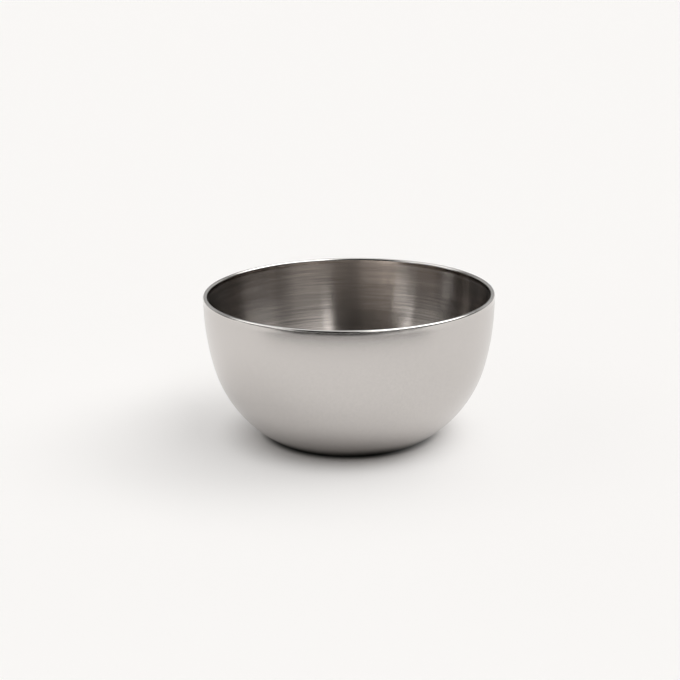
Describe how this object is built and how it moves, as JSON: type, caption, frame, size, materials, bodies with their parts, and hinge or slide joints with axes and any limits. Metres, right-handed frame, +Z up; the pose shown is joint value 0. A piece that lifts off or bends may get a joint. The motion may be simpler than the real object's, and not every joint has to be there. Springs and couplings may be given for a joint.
{
  "type": "bowl",
  "caption": "Round double-walled stainless steel bowl with a satin outside, a brushed inside, a round polished rim and a flat foot.",
  "frame": {"origin": "middle of the foot, on the surface that the bowl stands on", "axes": "+Z up along the bowl's axis, from the foot to the rim; the bowl is round, so X and Y are alike"},
  "size_m": [0.12, 0.12, 0.06],
  "materials": {
    "satin_steel": "fine satin, drawn stainless steel",
    "round_brushed_steel": "finely brushed round the bowl's axis",
    "polished_steel": "polished stainless steel",
    "plain_steel": "turned, matt"
  },
  "bodies": {
    "root": {"outer_shell": "satin_steel", "inner_shell": "round_brushed_steel", "rim_bead": "polished_steel", "vent_plug": "plain_steel"}
  },
  "joints": []
}
